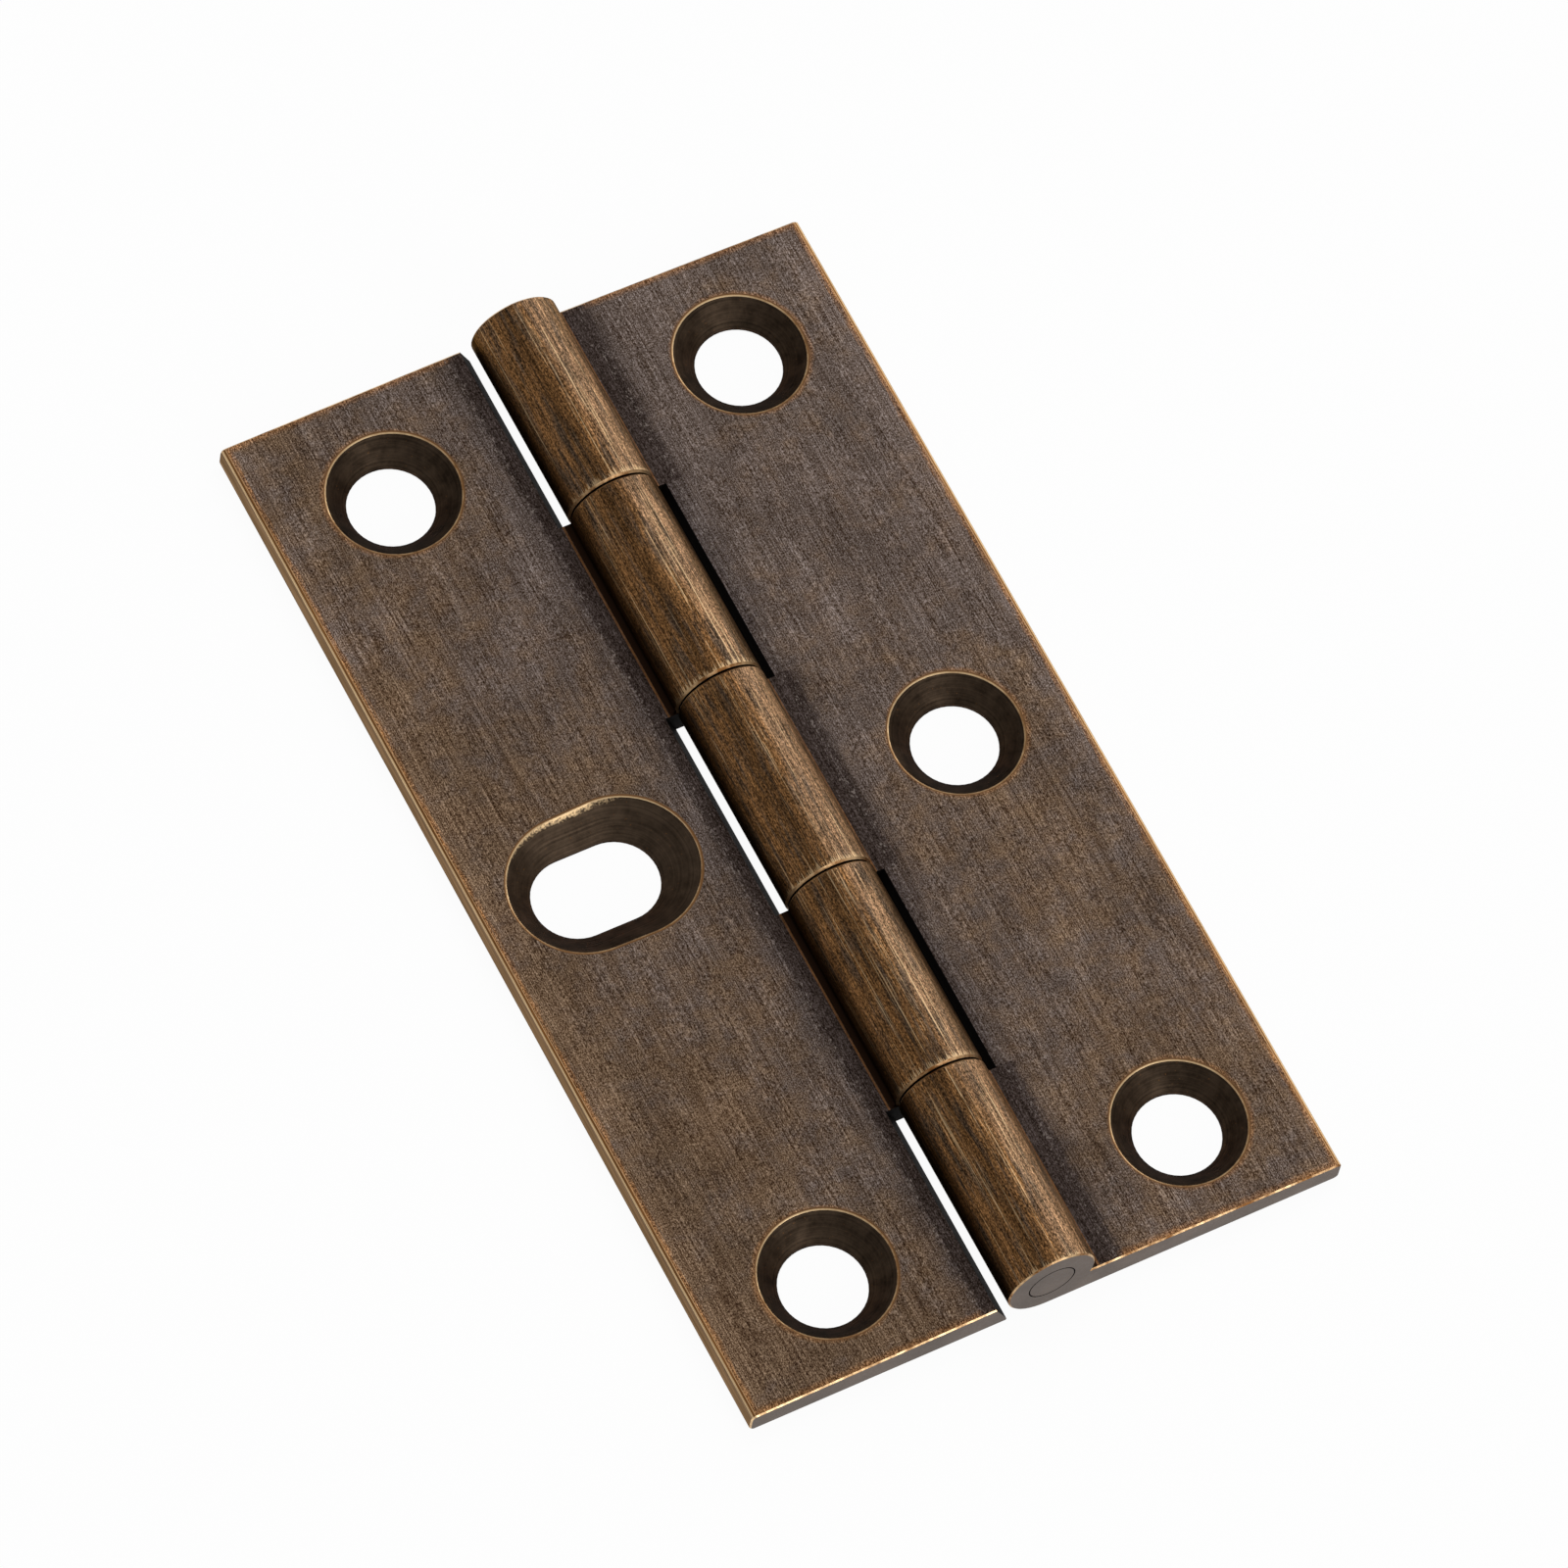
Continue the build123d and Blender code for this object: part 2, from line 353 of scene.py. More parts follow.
def leaf_grain(tree, place, finish):
    """Grain of the leaf faces, the tint that it gives the ground, and the shade of a few dark scratches."""
    width = finish.line_width * MM
    length = finish.line_length * MM
    blotch = 0.7
    grit = brushed_lines(tree, place, finish.grit * MM, 1.8 * finish.grit * MM, 1.0)
    lines = brushed_lines(tree, place, width, length, 1.0)
    blotches = add(tree, "ShaderNodeTexNoise", {
        "Vector": place, "Scale": 1 / blotch, "Detail": 2.0, "Roughness": 1.0})
    grain = weighted_sum(tree, ((lines, 0.32), (blotches, 0.1), (grit, 0.58)))
    contrast = add(tree, "ShaderNodeMapRange", {
        "Value": grain, "From Min": 0.3, "From Max": 0.7, "To Min": -0.65, "To Max": 0.65})
    # Bright grit is greyer and dark grit is browner than the ground, by as much to the eye
    tint = add(tree, "ShaderNodeVectorMath", {0: (1.0, 1.17, 1.35), "Scale": contrast}, operation="SCALE")
    tint = add(tree, "ShaderNodeVectorMath", {0: tint, 1: (1.0, 1.0, 1.0)}, operation="ADD")
    tint = add(tree, "ShaderNodeGamma", {"Color": tint, "Gamma": EYE_GAMMA})
    slanted = add(tree, "ShaderNodeMapping", {"Vector": place, "Rotation": (0.0, 0.0, 0.05)})
    scratches = brushed_lines(tree, slanted, 1.5 * width, 2 * length, 1.0)
    scratched = add(tree, "ShaderNodeMapRange", {
        "Value": scratches, "From Min": 0.62, "From Max": 0.74, "To Min": 1.02, "To Max": 0.72})
    return grain, tint, scratched


def leaf_ground(tree, place, across, finish):
    """Grey tarnish with warm clouds, and its shade: warmer and lighter towards the outer edges."""
    cloud = finish.cloud * MM
    clouds = add(tree, "ShaderNodeTexNoise", {
        "Vector": place, "Scale": 1 / cloud, "Detail": 4.0, "Roughness": 0.55})
    outward = add(tree, "ShaderNodeMapRange", {
        "Value": across, "From Min": 4.5, "From Max": 14.0, "To Min": -0.02, "To Max": 0.05})
    tone = add(tree, "ShaderNodeMath", {0: clouds, 1: 0.6, 2: outward}, operation="MULTIPLY_ADD")
    # The patina turns browner towards the near end and towards the left
    warming = (-0.005, -0.0033, 0.0)  # for each millimetre
    drift = add(tree, "ShaderNodeVectorMath", {0: place, 1: warming}, operation="DOT_PRODUCT")
    tone = add(tree, "ShaderNodeMath", {0: tone, 1: drift.outputs["Value"]}, operation="ADD")
    mottle = add(tree, "ShaderNodeTexNoise", {
        "Vector": place, "Scale": 6.5 / cloud, "Detail": 4.0, "Roughness": 0.65})
    tone = add(tree, "ShaderNodeMath", {0: mottle, 1: 0.65, 2: tone}, operation="MULTIPLY_ADD")
    warm = add(tree, "ShaderNodeMapRange", {
        "Value": tone, "From Min": 0.48, "From Max": 0.84}, interpolation_type="SMOOTHSTEP")
    ground = add(tree, "ShaderNodeMix", {0: warm, 6: finish.face_grey, 7: finish.face_warm}, data_type="RGBA")

    # Light and dark patches lie elsewhere than the clouds
    elsewhere = add(tree, "ShaderNodeMapping", {"Vector": place, "Location": (40.0, 15.0, 3.0)})
    patches = add(tree, "ShaderNodeTexNoise", {
        "Vector": elsewhere, "Scale": 2 / cloud, "Detail": 5.0, "Roughness": 0.6})
    shade = add(tree, "ShaderNodeMapRange", {
        "Value": patches, "From Min": 0.3, "From Max": 0.7, "To Min": 0.8, "To Max": 1.2})
    lighter = add(tree, "ShaderNodeMapRange", {
        "Value": across, "From Min": 15.5, "From Max": 17.6, "To Min": 1.0, "To Max": 1.3})
    shade = add(tree, "ShaderNodeMath", {0: shade, 1: lighter}, operation="MULTIPLY")
    return ground, shade


def root_painted_shade(tree, place, axes, across, ragged, sizes):
    """Shares of the dark painted shade beside the barrel, of the paler painted shade that it thins to, and of
    the pale frost on it.
    """
    film_place = add(tree, "ShaderNodeMath", {0: ragged, 1: 1.4, 2: across}, operation="MULTIPLY_ADD")
    # The painted shade is widest beside the right-hand leaf's own knuckles, and thin beside that leaf's
    # cut-outs
    right_hand = add(tree, "ShaderNodeMath", {0: axes.outputs["X"], 1: 0.0}, operation="GREATER_THAN")
    waver = 0.8
    middle = waver / 2 + sizes.knuckle_shift * MM
    wavering = add(tree, "ShaderNodeMath", {
        0: ragged, 1: waver, 2: axes.outputs["Y"]}, operation="MULTIPLY_ADD")
    past_middle = add(tree, "ShaderNodeMath", {0: wavering, 1: middle}, operation="SUBTRACT")
    knuckle = knuckle_number(tree, past_middle, sizes)
    cut_out = add(tree, "ShaderNodeMath", {0: knuckle, 1: 2.0}, operation="FLOORED_MODULO")
    cut_out = add(tree, "ShaderNodeMath", {0: cut_out, 1: right_hand}, operation="MULTIPLY")
    rooted = add(tree, "ShaderNodeMath", {0: right_hand, 1: cut_out}, operation="SUBTRACT")
    left_widening = 0.2
    root_widening = 0.55
    wider = add(tree, "ShaderNodeMath", {
        0: right_hand, 1: -left_widening, 2: left_widening}, operation="MULTIPLY_ADD")
    wider = add(tree, "ShaderNodeMath", {0: rooted, 1: root_widening, 2: wider}, operation="MULTIPLY_ADD")
    film_edge = add(tree, "ShaderNodeMath", {0: film_place, 1: wider}, operation="SUBTRACT")
    film = add(tree, "ShaderNodeMapRange", {
        "Value": film_edge, "From Min": 4.3, "From Max": 4.85, "To Min": 0.95, "To Max": 0.0},
        interpolation_type="SMOOTHSTEP")
    thinner = add(tree, "ShaderNodeMath", {0: cut_out, 1: -0.6, 2: 1.0}, operation="MULTIPLY_ADD")
    film = add(tree, "ShaderNodeMath", {0: film, 1: thinner}, operation="MULTIPLY")
    haze = add(tree, "ShaderNodeMapRange", {
        "Value": film_place, "From Min": 4.2, "From Max": 6.3, "To Min": 0.9, "To Max": 0.0})

    # The frost gathers in clumps along a line on the leaf
    frost_line = 4.05
    frost = brushed_lines(tree, place, 0.1, 0.22, 3.0)
    clumps = add(tree, "ShaderNodeMath", {0: ragged, 1: 0.5, 2: frost}, operation="MULTIPLY_ADD")
    beyond = add(tree, "ShaderNodeMath", {0: across, 1: frost_line}, operation="SUBTRACT")
    beyond = add(tree, "ShaderNodeMath", {0: beyond}, operation="ABSOLUTE")
    clumps = add(tree, "ShaderNodeMath", {0: beyond, 1: -0.25, 2: clumps}, operation="MULTIPLY_ADD")
    frosted = add(tree, "ShaderNodeMapRange", {
        "Value": clumps, "From Min": 0.8, "From Max": 0.92, "To Max": 0.75})
    return film, haze, frosted


def edge_tarnish(tree, axes, across, ragged, streaks, sizes):
    """Share of thin orange tarnish beside the outer edges and the ends."""
    reach = sizes.reach * MM
    half_length = sizes.half_length * MM
    side_place = add(tree, "ShaderNodeMath", {0: streaks, 1: 0.9, 2: across}, operation="MULTIPLY_ADD")
    side = add(tree, "ShaderNodeMapRange", {
        "Value": side_place, "From Min": reach - 0.15, "From Max": reach + 0.2, "To Max": 0.75})
    along = add(tree, "ShaderNodeMath", {0: axes.outputs["Y"]}, operation="ABSOLUTE")
    end_place = add(tree, "ShaderNodeMath", {0: ragged, 1: 0.5, 2: along}, operation="MULTIPLY_ADD")
    end = add(tree, "ShaderNodeMapRange", {
        "Value": end_place, "From Min": half_length - 0.25, "From Max": half_length + 0.25, "To Max": 0.8})
    return add(tree, "ShaderNodeMath", {0: side, 1: end}, operation="MAXIMUM")


def rim_tarnish(tree, axes, ragged, sizes):
    """Share of the same tarnish round the countersinks."""
    row_place = along_row(tree, axes, sizes, False)
    radius = from_countersink(tree, axes, row_place, sizes, False)
    rim_place = add(tree, "ShaderNodeMath", {0: ragged, 1: -0.5, 2: radius}, operation="MULTIPLY_ADD")
    rim = sizes.rim_radius * MM
    return add(tree, "ShaderNodeMapRange", {
        "Value": rim_place, "From Min": rim - 0.3, "From Max": rim - 0.05, "To Min": 0.45, "To Max": 0.0})


def leaf_brass(sizes, finish):
    """Finish of the leaf faces."""
    # Rolled brass, brushed, darkened in a bath and relieved: grey-brown, softly clouded and finely lined
    material, tree, place = new_finish("Brushed antique brass")
    axes = add(tree, "ShaderNodeSeparateXYZ", {0: place})
    across = add(tree, "ShaderNodeMath", {0: axes.outputs["X"]}, operation="ABSOLUTE")
    rag = 0.45
    ragged = add(tree, "ShaderNodeTexNoise", {
        "Vector": place, "Scale": 1 / rag, "Detail": 6.0, "Roughness": 0.75})
    streaks = brushed_lines(tree, place, 0.12, 1.2, 4.0)
    grain, tint, scratched = leaf_grain(tree, place, finish)
    ground, shade = leaf_ground(tree, place, across, finish)
    shade = add(tree, "ShaderNodeMath", {0: shade, 1: scratched}, operation="MULTIPLY")
    film, haze, frosted = root_painted_shade(tree, place, axes, across, ragged, sizes)
    thin = edge_tarnish(tree, axes, across, ragged, streaks, sizes)
    rim = rim_tarnish(tree, axes, ragged, sizes)

    # Painted shade makes the corner at the barrel's foot near black, and a painted reflection draws a thin
    # orange line beside it
    corner = add(tree, "ShaderNodeMapRange", {
        "Value": across, "From Min": 2.86, "From Max": 2.96, "To Min": 1.0, "To Max": 0.0})
    foot_line = 2.98
    foot = add(tree, "ShaderNodeMath", {0: across, 1: foot_line, 2: 0.06}, operation="COMPARE")
    foot = add(tree, "ShaderNodeMath", {0: foot, 1: streaks}, operation="MULTIPLY")

    # The back has neither the painted shade, frost and painted reflection beside the barrel nor the tarnish
    # round the countersinks
    front = add(tree, "ShaderNodeMath", {0: axes.outputs["Z"], 1: FRONT_ABOVE}, operation="GREATER_THAN")
    film, haze, frosted, rim, corner, foot = [
        add(tree, "ShaderNodeMath", {0: share, 1: front}, operation="MULTIPLY")
        for share in (film, haze, frosted, rim, corner, foot)]
    thin = add(tree, "ShaderNodeMath", {0: thin, 1: rim}, operation="MAXIMUM")

    # The painted shade's haze and the tarnish lie under the grain, and so does the painted shade's dark film;
    # the frost, the painted shade in the corner and the painted reflection at the barrel's foot lie over it
    for share, layer in ((haze, finish.root_shade_haze), (thin, finish.edge_orange_and_reflection)):
        ground = add(tree, "ShaderNodeMix", {0: share, 6: ground, 7: layer}, data_type="RGBA")
    ground = add(tree, "ShaderNodeVectorMath", {0: ground, "Scale": shade}, operation="SCALE")
    ground = add(tree, "ShaderNodeMix", {0: film, 6: ground, 7: finish.root_shade_dark}, data_type="RGBA")
    colour = add(tree, "ShaderNodeVectorMath", {0: ground, 1: tint}, operation="MULTIPLY")
    for share, layer in ((frosted, finish.frost), (corner, finish.foot_shade_brown), (foot, finish.edge_orange_and_reflection)):
        colour = add(tree, "ShaderNodeMix", {0: share, 6: colour, 7: layer}, data_type="RGBA")
    roughness = add(tree, "ShaderNodeMapRange", {
        "Value": grain, "From Min": 0.35, "From Max": 0.65, "To Min": 0.58, "To Max": 0.42})
    close_finish(tree, colour, roughness, grain, 0.006, {"Metallic": THIN_PATINA})
    return material


def long_edge_brass(sizes, finish):
    """Finish of the rounded long outer edges."""
    # The same brass, handled: a smooth olive side, with bare gold lines along the rounding that are painted
    # highlights
    material, tree, place = new_finish("Handled brass edge")
    axes = add(tree, "ShaderNodeSeparateXYZ", {0: place})
    across = add(tree, "ShaderNodeMath", {0: axes.outputs["X"]}, operation="ABSOLUTE")
    start = (sizes.reach - sizes.edge_radius) * MM
    past = add(tree, "ShaderNodeMath", {0: across, 1: start}, operation="SUBTRACT")
    middle = (sizes.edge_thickness - sizes.edge_radius) * MM
    above = add(tree, "ShaderNodeMath", {0: axes.outputs["Z"], 1: middle}, operation="SUBTRACT")
    raised = add(tree, "ShaderNodeMath", {0: above, 1: 0.0}, operation="MAXIMUM")
    turn = add(tree, "ShaderNodeMath", {0: past, 1: raised}, operation="ARCTAN2")
    unrolled = add(tree, "ShaderNodeCombineXYZ", {0: turn, 1: axes.outputs["Y"], 2: above})
    waver = brushed_lines(tree, unrolled, 0.3, 5.0, 3.0)
    fine = brushed_lines(tree, unrolled, 0.15, 1.2, 2.0)

    # Two painted highlights run along the rounding as bare gold lines, placed in radians: one on its turn, a
    # fainter one by the face
    outer_line = 0.86
    inner_line = 0.28
    at = add(tree, "ShaderNodeMath", {0: waver, 1: 0.2, 2: turn}, operation="MULTIPLY_ADD")
    outer = add(tree, "ShaderNodeMath", {0: at, 1: outer_line, 2: 0.16}, operation="COMPARE")
    inner = add(tree, "ShaderNodeMath", {0: at, 1: inner_line, 2: 0.09}, operation="COMPARE")
    rubbed = add(tree, "ShaderNodeMath", {0: inner, 1: 0.45, 2: outer}, operation="MULTIPLY_ADD")
    # On the right-hand edge a painted highlight covers its whole turn
    right_hand = add(tree, "ShaderNodeMath", {0: axes.outputs["X"], 1: 0.0}, operation="GREATER_THAN")
    turned = add(tree, "ShaderNodeMapRange", {"Value": at, "From Min": 0.45, "From Max": 0.9, "To Max": 0.4})
    turned = add(tree, "ShaderNodeMath", {0: turned, 1: right_hand}, operation="MULTIPLY")
    rubbed = add(tree, "ShaderNodeMath", {0: rubbed, 1: turned}, operation="MAXIMUM")
    worn = add(tree, "ShaderNodeMapRange", {"Value": fine, "From Min": 0.3, "From Max": 0.6, "To Min": 0.65})
    gold = add(tree, "ShaderNodeMath", {0: rubbed, 1: worn}, operation="MULTIPLY", use_clamp=True)

    side = add(tree, "ShaderNodeMapRange", {"Value": turn, "From Min": 0.7, "From Max": 1.0})
    ground = add(tree, "ShaderNodeMix", {
        0: side, 6: finish.edge_orange_and_reflection, 7: finish.side_olive}, data_type="RGBA")
    shade = add(tree, "ShaderNodeMapRange", {
        "Value": waver, "From Min": 0.35, "From Max": 0.65, "To Min": 0.8, "To Max": 1.5})
    ground = add(tree, "ShaderNodeVectorMath", {0: ground, "Scale": shade}, operation="SCALE")
    colour = add(tree, "ShaderNodeMix", {0: gold, 6: ground, 7: finish.bare_gold_and_highlight}, data_type="RGBA")
    roughness = add(tree, "ShaderNodeMapRange", {"Value": gold, "To Min": 0.5, "To Max": 0.35})
    sockets = {"Metallic": THIN_PATINA, "Specular Tint": finish.grazing}
    close_finish(tree, colour, roughness, fine, 0.004, sockets)
    return material


def barrel_ground(tree, unrolled, band, finish):
    """Golden brown of the barrel, with a rosier painted highlight on its upper right, and grey in streaks."""
    rosy_highlight = add(tree, "ShaderNodeMapRange", {
        "Value": band, "From Min": 1.0, "From Max": 2.0}, interpolation_type="SMOOTHSTEP")
    ground = add(tree, "ShaderNodeMix", {
        0: rosy_highlight, 6: finish.barrel_brown, 7: finish.barrel_rose_highlight}, data_type="RGBA")
    tone = brushed_lines(tree, unrolled, 6 * finish.line_width * MM, 0.8 * finish.line_length * MM, 5.0)
    grey = add(tree, "ShaderNodeMapRange", {
        "Value": tone, "From Min": 0.44, "From Max": 0.66, "To Max": 0.8}, interpolation_type="SMOOTHSTEP")
    return add(tree, "ShaderNodeMix", {0: grey, 6: ground, 7: finish.barrel_grey}, data_type="RGBA")


def barrel_wear(tree, band, past_middle, sizes):
    """How much more the barrel is worn at its knuckles' ends and on two lines near its top."""
    # The knuckles' ends are worn most on the far side of a joint
    half_pitch = sizes.knuckle_pitch * MM / 2
    past_joint = add(tree, "ShaderNodeMath", {0: past_middle, 1: half_pitch}, operation="SUBTRACT")
    past_joint = add(tree, "ShaderNodeMath", {0: past_joint, 1: half_pitch, 2: -half_pitch}, operation="WRAP")
    before = add(tree, "ShaderNodeMath", {0: past_joint, 1: -2.5}, operation="MULTIPLY")
    from_joint = add(tree, "ShaderNodeMath", {0: past_joint, 1: before}, operation="MAXIMUM")
    worn = add(tree, "ShaderNodeMapRange", {
        "Value": from_joint, "From Min": 0.15, "From Max": 0.6, "To Min": 0.24, "To Max": 0.0})
    streak = 1.45
    beside_streak = 0.4
    from_streak = add(tree, "ShaderNodeMath", {0: band, 1: streak}, operation="SUBTRACT")
    from_streak = add(tree, "ShaderNodeMath", {0: from_streak}, operation="ABSOLUTE")
    beside = add(tree, "ShaderNodeMath", {0: from_streak, 1: beside_streak, 2: 0.07}, operation="COMPARE")
    return add(tree, "ShaderNodeMath", {0: beside, 1: 0.12, 2: worn}, operation="MULTIPLY_ADD")


def barrel_painted_light(tree, around, knuckle):
    """Painted shade and highlight on the barrel, by the place round it from its top."""
    # Painted shade darkens the barrel low on the left, and starts lower down on the left-hand leaf's own
    # knuckles
    odd = add(tree, "ShaderNodeMath", {0: knuckle, 1: 2.0}, operation="FLOORED_MODULO")
    raised = add(tree, "ShaderNodeMath", {0: odd, 1: 0.4, 2: around}, operation="MULTIPLY_ADD")
    left = add(tree, "ShaderNodeMapRange", {
        "Value": raised, "From Min": -4.2, "From Max": -2.2, "To Min": 0.15, "To Max": 1.0},
        interpolation_type="SMOOTHSTEP")
    # On the right, painted shade darkens those knuckles over an open gap, and a painted highlight lightens
    # the others above their root
    peak = add(tree, "ShaderNodeMath", {0: odd, 1: -0.9, 2: 1.7}, operation="MULTIPLY_ADD")
    shoulder = add(tree, "ShaderNodeMapRange", {
        "Value": around, "From Min": 1.6, "From Max": 2.1, "To Min": 1.0, "To Max": peak})
    low = add(tree, "ShaderNodeMath", {0: odd, 1: -0.42, 2: 0.5}, operation="MULTIPLY_ADD")
    right = add(tree, "ShaderNodeMapRange", {
        "Value": around, "From Min": 2.25, "From Max": 3.1, "To Min": 1.0, "To Max": low})
    # The very top is darker than its flanks
    from_top = add(tree, "ShaderNodeMath", {0: around, 1: 0.5}, operation="ADD")
    from_top = add(tree, "ShaderNodeMath", {0: from_top}, operation="ABSOLUTE")
    top = add(tree, "ShaderNodeMapRange", {
        "Value": from_top, "From Min": 0.4, "From Max": 1.05, "To Min": 0.55, "To Max": 1.0})
    painted_light = left
    for part in (right, shoulder, top):
        painted_light = add(tree, "ShaderNodeMath", {0: painted_light, 1: part}, operation="MULTIPLY")
    # Underneath, the painted shade gives way, so that the barrel is no darker there than 0.6
    aside = add(tree, "ShaderNodeMath", {0: around}, operation="ABSOLUTE")
    under = add(tree, "ShaderNodeMapRange", {"Value": aside, "From Min": 4.4, "From Max": 5.4, "To Max": 0.6})
    return add(tree, "ShaderNodeMath", {0: painted_light, 1: under}, operation="MAXIMUM")


def barrel_brass(sizes, finish):
    """Finish of the knuckles' round faces."""
    # Turned brass, rubbed more than the leaves: golden brown, streaked along the pin, with bare lines
    material, tree, place = new_finish("Rubbed antique brass")
    axes = add(tree, "ShaderNodeSeparateXYZ", {0: place})
    radius = sizes.barrel_radius * MM
    above = add(tree, "ShaderNodeMath", {0: axes.outputs["Z"], 1: radius}, operation="SUBTRACT")
    angle = add(tree, "ShaderNodeMath", {0: axes.outputs["X"], 1: above}, operation="ARCTAN2")
    around = add(tree, "ShaderNodeMath", {0: angle, 1: radius}, operation="MULTIPLY")

    # Each knuckle has streaks of its own
    shift = sizes.knuckle_shift * MM
    past_middle = add(tree, "ShaderNodeMath", {0: axes.outputs["Y"], 1: shift}, operation="SUBTRACT")
    knuckle = knuckle_number(tree, past_middle, sizes)
    unrolled = add(tree, "ShaderNodeCombineXYZ", {0: around, 1: axes.outputs["Y"], 2: knuckle})
    width = finish.line_width * MM
    length = finish.line_length * MM
    fine = brushed_lines(tree, unrolled, width, 0.5 * length, 2.0)
    broad = brushed_lines(tree, unrolled, 2.4 * width, length, 3.0)
    bare = brushed_lines(tree, unrolled, 1.4 * width, 2.5 * length, 1.0)
    sway = brushed_lines(tree, unrolled, 16 * width, 4 * length, 3.0)
    grit = brushed_lines(tree, place, finish.grit * MM, 2.5 * finish.grit * MM, 1.0)
    grain = weighted_sum(tree, ((fine, 0.3), (broad, 0.25), (grit, 0.45)))
    shade = add(tree, "ShaderNodeMapRange", {
        "Value": grain, "From Min": 0.3, "From Max": 0.7, "To Min": 0.06, "To Max": 1.9})
    shade = add(tree, "ShaderNodeMath", {0: shade, 1: EYE_GAMMA}, operation="POWER")

    # Bands along the pin waver and differ from knuckle to knuckle
    band = add(tree, "ShaderNodeMath", {0: sway, 1: 2.4, 2: around}, operation="MULTIPLY_ADD")
    ground = barrel_ground(tree, unrolled, band, finish)
    worn = barrel_wear(tree, band, past_middle, sizes)
    gold_place = add(tree, "ShaderNodeMath", {0: bare, 1: worn}, operation="ADD")
    gold_place = add(tree, "ShaderNodeMath", {0: fine, 1: 0.25, 2: gold_place}, operation="MULTIPLY_ADD")
    gold = add(tree, "ShaderNodeMapRange", {
        "Value": gold_place, "From Min": 0.79, "From Max": 0.87, "To Max": 0.55})

    # Painted shade and highlights round the barrel scale the shade of its grain and its bare lines
    painted_light = barrel_painted_light(tree, around, knuckle)
    shade = add(tree, "ShaderNodeMath", {0: shade, 1: painted_light}, operation="MULTIPLY")
    gold = add(tree, "ShaderNodeMath", {0: gold, 1: painted_light}, operation="MULTIPLY")
    lined = add(tree, "ShaderNodeVectorMath", {0: ground, "Scale": shade}, operation="SCALE")
    colour = add(tree, "ShaderNodeMix", {0: gold, 6: lined, 7: finish.bare_gold_and_highlight}, data_type="RGBA")
    roughness = add(tree, "ShaderNodeMapRange", {
        "Value": grain, "From Min": 0.35, "From Max": 0.65, "To Min": 0.52, "To Max": 0.38})
    sockets = {"Metallic": THIN_PATINA, "Specular Tint": finish.grazing}
    close_finish(tree, colour, roughness, grain, 0.007, sockets)
    return material


def end_brass(finish):
    """Finish of the ends of the leaves, the barrel and the pin."""
    # Sawn and linished ends: smooth taupe with a faint speckle
    material, tree, place = new_finish("Linished brass end")
    fleck = 0.12
    cloud = 2.5
    speckle = add(tree, "ShaderNodeTexNoise", {
        "Vector": place, "Scale": 1 / fleck, "Detail": 3.0, "Roughness": 0.7})
    clouds = add(tree, "ShaderNodeTexNoise", {"Vector": place, "Scale": 1 / cloud, "Detail": 2.0})
    mottle = add(tree, "ShaderNodeMath", {0: speckle, 1: 0.6, 2: clouds}, operation="MULTIPLY_ADD")
    shade = add(tree, "ShaderNodeMapRange", {
        "Value": mottle, "From Min": 0.5, "From Max": 1.1, "To Min": 0.72, "To Max": 1.28})
    colour = add(tree, "ShaderNodeVectorMath", {0: finish.end_taupe[:3], "Scale": shade}, operation="SCALE")
    roughness = add(tree, "ShaderNodeMapRange", {
        "Value": speckle, "From Min": 0.3, "From Max": 0.7, "To Min": 0.4, "To Max": 0.55})
    close_finish(tree, colour, roughness, speckle, 0.004, {"Metallic": THIN_PATINA})
    return material


def bare_brass(finish):
    """Finish of the broken edges."""
    # Edges rubbed back to bright metal, most on the left-hand leaf, with orange tarnish where the rub missed
    material, tree, place = new_finish("Rubbed bare brass")
    axes = add(tree, "ShaderNodeSeparateXYZ", {0: place})
    patch = 1.3
    left_of = -3.0  # past the barrel
    missed = add(tree, "ShaderNodeTexNoise", {
        "Vector": place, "Scale": 1 / patch, "Detail": 6.0, "Roughness": 0.75})
    left_hand = add(tree, "ShaderNodeMath", {0: axes.outputs["X"], 1: left_of}, operation="LESS_THAN")
    bare = add(tree, "ShaderNodeMath", {0: left_hand, 1: 0.09, 2: missed}, operation="MULTIPLY_ADD")
    gold = add(tree, "ShaderNodeMapRange", {"Value": bare, "From Min": 0.4, "From Max": 0.68, "To Max": 0.9})
    colour = add(tree, "ShaderNodeMix", {
        0: gold, 6: finish.edge_orange_and_reflection, 7: finish.bare_gold_and_highlight}, data_type="RGBA")
    roughness = add(tree, "ShaderNodeMapRange", {"Value": gold, "To Min": 0.5, "To Max": 0.3})
    close_finish(tree, colour, roughness, missed, 0.006, {"Metallic": BARE_METAL})
    return material


